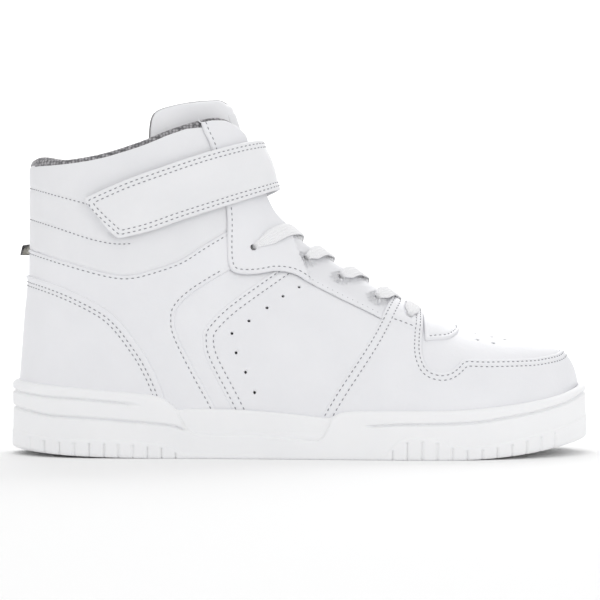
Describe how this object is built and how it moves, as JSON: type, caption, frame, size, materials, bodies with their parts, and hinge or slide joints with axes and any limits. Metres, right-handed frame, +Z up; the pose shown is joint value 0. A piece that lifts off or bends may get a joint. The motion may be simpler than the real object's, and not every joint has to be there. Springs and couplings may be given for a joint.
{
  "type": "basketball high top shoe",
  "caption": "White leather high-top sneaker for the right foot with moulded cup sole, padded collar and tongue, flat lace and a hook-and-loop ankle strap.",
  "frame": {"origin": "on the ground under the middle of the shoe's bounding box", "axes": "+X from the heel to the toe, +Y from the outer to the inner side of the foot, +Z up"},
  "size_m": [0.2873, 0.1098, 0.177],
  "materials": {
    "outsole_rubber": "matte white tread rubber",
    "sole_rubber": "satin white moulded rubber",
    "recess_rubber": "matte textured white rubber",
    "midsole_foam": "closed-cell foam",
    "shank_steel": "plain strip steel",
    "board": "fibre board",
    "stiffener": "thermoplastic sheet",
    "leather": "smooth white full-grain, slightly tumbled",
    "soft_leather": "soft white leather over padding",
    "padding": "open-cell foam",
    "lining_mesh": "grey knitted mesh",
    "label": "plain woven tab, no mark",
    "lace_cotton": "flat ribbed white lace",
    "strap_leather": "white leather with a rolled edge",
    "hook_loop": "hook-and-loop tape"
  },
  "bodies": {
    "root": {"outsole": "outsole_rubber", "cupsole": "sole_rubber", "heel_band": "sole_rubber", "forefoot_band": "sole_rubber", "toe_bumper": "sole_rubber", "waist_panel_lateral": "recess_rubber", "waist_panel_medial": "recess_rubber", "midsole": "midsole_foam", "shank": "shank_steel", "lasting_board": "board", "sockliner": "lining_mesh", "toe_puff": "stiffener", "heel_counter": "stiffener", "vamp": "leather", "vamp_lining": "lining_mesh", "mudguard": "leather", "throat_patch": "leather", "quarter_lateral": "leather", "quarter_medial": "leather", "side_panel_lateral": "leather", "side_panel_medial": "leather", "rear_quarter": "leather", "heel_overlay": "leather", "collar_cover": "soft_leather", "collar_foam": "padding", "collar_lining": "lining_mesh", "heel_lining": "lining_mesh", "quarter_lining_lateral": "lining_mesh", "quarter_lining_medial": "lining_mesh", "eyestay_lateral": "leather", "eyestay_medial": "leather", "lace": "lace_cotton", "strap_anchor": "strap_leather", "loop_patch": "hook_loop"},
    "tongue": {"tongue_cover": "soft_leather", "tongue_foam": "padding", "tongue_lining": "lining_mesh", "tongue_label": "label"},
    "strap_front": {"strap_bridge": "strap_leather"},
    "strap_end": {"strap_tab": "strap_leather", "hook_patch": "hook_loop"}
  },
  "joints": [
    {"name": "tongue_flex", "type": "hinge", "parent": "root", "child": "tongue", "pos_m": [0.038, 0, 0.07], "axis": [0, -1, 0], "range_deg": [0, 8]},
    {"name": "strap_swing", "type": "hinge", "parent": "root", "child": "strap_front", "pos_m": [-0.03397, 0.02664, 0.1367], "axis": [-0.2029, 0.0232, 0.9789], "range_deg": [0, 75]},
    {"name": "strap_peel", "type": "hinge", "parent": "strap_front", "child": "strap_end", "pos_m": [-0.03123, -0.02488, 0.13762], "axis": [-0.1971, -0.009, 0.9803], "range_deg": [0, 110]}
  ]
}
